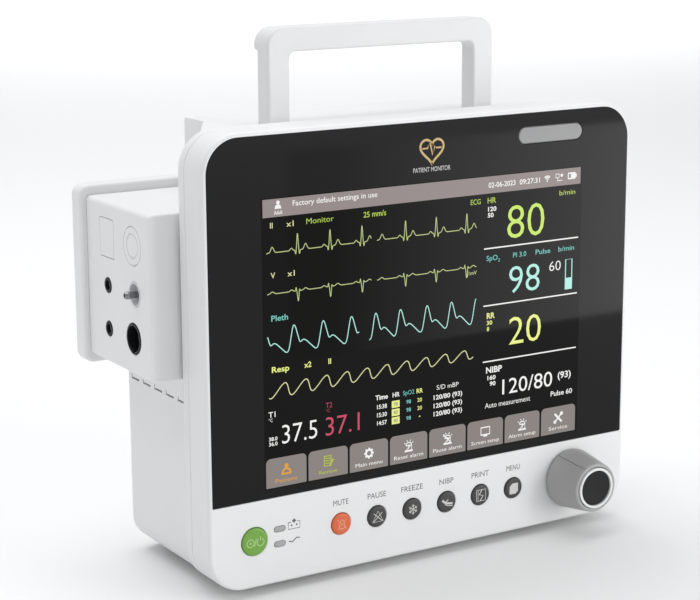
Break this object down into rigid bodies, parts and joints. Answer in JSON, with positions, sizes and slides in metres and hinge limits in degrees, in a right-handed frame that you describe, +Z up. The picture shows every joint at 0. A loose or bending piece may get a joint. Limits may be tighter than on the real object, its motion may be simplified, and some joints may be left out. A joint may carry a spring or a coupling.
{
  "type": "patient monitor",
  "caption": "Bedside patient monitor: flat display in a white case with a carrying handle, front keys, a push-and-turn knob, a side parameter module, a paper recorder and a battery door.",
  "frame": {"origin": "middle of the footprint of the whole object, on the surface that the feet stand on", "axes": "+X to the right as seen by a person facing the screen, +Y from the screen to the back, +Z up"},
  "size_m": [0.3574, 0.173, 0.355],
  "materials": {
    "housing_white": "injection-moulded ABS/PC, fine satin grain",
    "front_glass": "black-printed cover glass, polished",
    "screen": "lit display panel",
    "grey_lens": "smoked light-pipe lens",
    "green_key": "moulded key, satin",
    "orange_key": "moulded key, satin",
    "dark_key": "moulded key, satin",
    "knob_grey": "soft-touch moulding",
    "black_plastic": "moulded, fine grain",
    "rubber": "moulded rubber",
    "steel": "plated steel",
    "aluminium": "folded sheet",
    "brass": "turned brass",
    "circuit_board": "glass-epoxy board",
    "paper": "thermal paper",
    "battery_case": "shrink-wrapped pack"
  },
  "bodies": {
    "case": {"front_housing": "housing_white", "rear_housing": "housing_white", "handle": "housing_white", "module_housing": "housing_white", "module_rear_cover": "housing_white", "blank_cover_square": "housing_white", "blank_cover_round": "housing_white", "front_glass": "front_glass", "lcd_panel": "screen", "alarm_lens": "grey_lens", "battery_lamp_lens": "grey_lens", "mains_lamp_lens": "grey_lens", "cuff_cup": "knob_grey", "temperature_socket_1": "black_plastic", "temperature_socket_2": "black_plastic", "ecg_socket": "black_plastic", "ecg_pin_block": "black_plastic", "recorder_tub": "black_plastic", "mains_inlet": "black_plastic", "pressure_valve": "black_plastic", "speaker": "black_plastic", "foot_front_left": "rubber", "foot_front_right": "rubber", "foot_rear_left": "rubber", "foot_rear_right": "rubber", "encoder_body": "steel", "handle_screw_left": "steel", "handle_screw_right": "steel", "module_screw_lower": "steel", "module_screw_upper": "steel", "cuff_nozzle": "steel", "lan_port": "steel", "mount_plate": "steel", "pressure_pump": "steel", "chassis_frame": "aluminium", "power_supply": "aluminium", "ground_stud": "brass", "key_board": "circuit_board", "main_board": "circuit_board", "parameter_board": "circuit_board", "battery_pack": "battery_case"},
    "power_key": {"power_button": "green_key"},
    "mute_key": {"mute_button": "orange_key"},
    "pause_key": {"pause_button": "dark_key"},
    "freeze_key": {"freeze_button": "dark_key"},
    "pressure_key": {"pressure_button": "dark_key"},
    "print_key": {"print_button": "dark_key"},
    "menu_key": {"menu_button": "dark_key"},
    "knob_plunger": {"encoder_slider": "black_plastic"},
    "knob": {"knob_body": "knob_grey", "knob_ring": "housing_white", "knob_cap": "black_plastic", "encoder_shaft": "steel"},
    "recorder_door": {"recorder_door": "housing_white", "recorder_hinge_pin": "steel"},
    "platen": {"platen_roller": "rubber"},
    "paper": {"paper_roll": "paper", "paper_spindle": "knob_grey"},
    "battery_door": {"battery_door": "housing_white", "battery_door_pin": "steel"}
  },
  "joints": [
    {"name": "power_press", "type": "slide", "parent": "case", "child": "power_key", "axis": [0, 1, 0], "range_m": [0, 0.001], "stiffness_N_per_m": 1000, "springref_m": -0.0008},
    {"name": "mute_press", "type": "slide", "parent": "case", "child": "mute_key", "axis": [0, 1, 0], "range_m": [0, 0.001], "stiffness_N_per_m": 1000, "springref_m": -0.0008},
    {"name": "pause_press", "type": "slide", "parent": "case", "child": "pause_key", "axis": [0, 1, 0], "range_m": [0, 0.001], "stiffness_N_per_m": 1000, "springref_m": -0.0008},
    {"name": "freeze_press", "type": "slide", "parent": "case", "child": "freeze_key", "axis": [0, 1, 0], "range_m": [0, 0.001], "stiffness_N_per_m": 1000, "springref_m": -0.0008},
    {"name": "pressure_press", "type": "slide", "parent": "case", "child": "pressure_key", "axis": [0, 1, 0], "range_m": [0, 0.001], "stiffness_N_per_m": 1000, "springref_m": -0.0008},
    {"name": "print_press", "type": "slide", "parent": "case", "child": "print_key", "axis": [0, 1, 0], "range_m": [0, 0.001], "stiffness_N_per_m": 1000, "springref_m": -0.0008},
    {"name": "menu_press", "type": "slide", "parent": "case", "child": "menu_key", "axis": [0, 1, 0], "range_m": [0, 0.001], "stiffness_N_per_m": 1000, "springref_m": -0.0008},
    {"name": "knob_push", "type": "slide", "parent": "case", "child": "knob_plunger", "axis": [0, 1, 0], "range_m": [0, 0.0006], "stiffness_N_per_m": 5000, "springref_m": -0.0006},
    {"name": "knob_turn", "type": "hinge", "parent": "knob_plunger", "child": "knob", "pos_m": [0.13105, -0.07055, 0.037], "axis": [0, 1, 0], "continuous": true},
    {"name": "recorder_door_open", "type": "hinge", "parent": "case", "child": "recorder_door", "pos_m": [0.16965, 0.02445, 0.0715], "axis": [0, 1, 0], "range_deg": [0, 75]},
    {"name": "platen_turn", "type": "hinge", "parent": "recorder_door", "child": "platen", "pos_m": [0.16515, 0.02445, 0.138], "axis": [0, 1, 0], "continuous": true},
    {"name": "paper_turn", "type": "hinge", "parent": "case", "child": "paper", "pos_m": [0.14415, 0.02445, 0.101], "axis": [0, 1, 0], "continuous": true},
    {"name": "battery_door_open", "type": "hinge", "parent": "case", "child": "battery_door", "pos_m": [-0.02345, 0.07465, 0.048], "axis": [0, 0, -1], "range_deg": [0, 110]}
  ]
}
